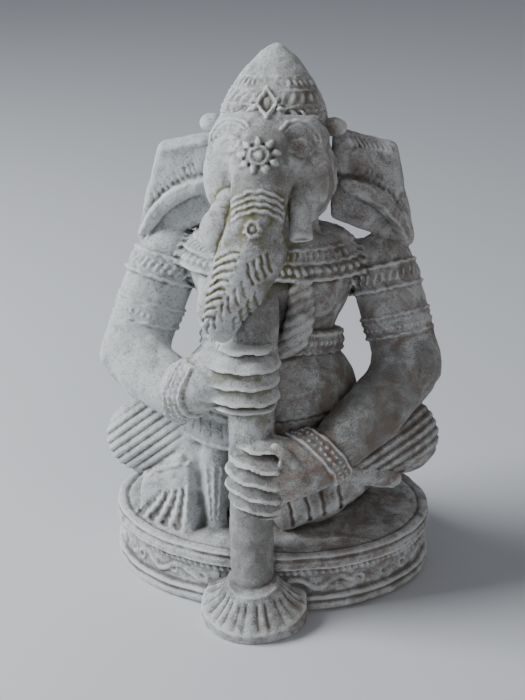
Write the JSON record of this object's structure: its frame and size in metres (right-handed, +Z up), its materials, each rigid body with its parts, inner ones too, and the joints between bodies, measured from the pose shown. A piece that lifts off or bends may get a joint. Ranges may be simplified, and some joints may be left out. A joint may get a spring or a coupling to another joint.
{
  "type": "ganesha idol",
  "caption": "Carved pale grey stone figure of an elephant-headed musician seated cross-legged on an oval plinth, both hands holding a long flared horn that stands on the ground.",
  "frame": {"origin": "centre of the plinth's flat underside, on the ground", "axes": "+Z up; the figure faces -Y; its right side is at -X and its left side at +X"},
  "size_m": [0.0851, 0.0815, 0.133],
  "materials": {
    "stone_pale": "dry chalky carved stone, fine grain, matt",
    "stone_grey": "carved stone with grime in the recesses, matt",
    "stone_worn": "handled, slightly darker and smoother stone, speckled"
  },
  "bodies": {
    "root": {"horn_bell": "stone_worn", "horn_tube": "stone_worn", "horn_ring": "stone_worn", "plinth": "stone_grey", "plinth_frieze": "stone_grey", "trunk": "stone_grey", "crown_finial": "stone_pale", "crown_dome": "stone_pale", "crown_band": "stone_pale", "head": "stone_pale", "right_tusk": "stone_pale", "left_tusk": "stone_grey", "trunk_rings": "stone_grey", "trunk_flower": "stone_grey", "forehead_flower": "stone_pale", "forehead_jewel": "stone_pale", "right_brow": "stone_pale", "left_brow": "stone_grey", "right_eye": "stone_pale", "left_eye": "stone_grey", "right_ear": "stone_pale", "left_ear": "stone_grey", "right_ear_knob": "stone_pale", "left_ear_knob": "stone_grey", "right_hand": "stone_pale", "left_hand": "stone_worn", "right_forearm": "stone_pale", "left_forearm": "stone_worn", "right_bracelet": "stone_pale", "left_bracelet": "stone_worn", "right_upper_arm": "stone_pale", "left_upper_arm": "stone_grey", "right_sleeve": "stone_pale", "left_sleeve": "stone_grey", "right_armlet": "stone_pale", "left_armlet": "stone_grey", "belly": "stone_pale", "chest": "stone_grey", "waist_belt": "stone_grey", "collar": "stone_grey", "chest_garland": "stone_grey", "right_foot": "stone_pale", "left_foot": "stone_grey", "right_leg": "stone_pale", "left_leg": "stone_grey", "right_cuff": "stone_pale", "left_cuff": "stone_grey", "skirt": "stone_grey", "sash_end": "stone_pale", "hips": "stone_grey"}
  },
  "joints": []
}
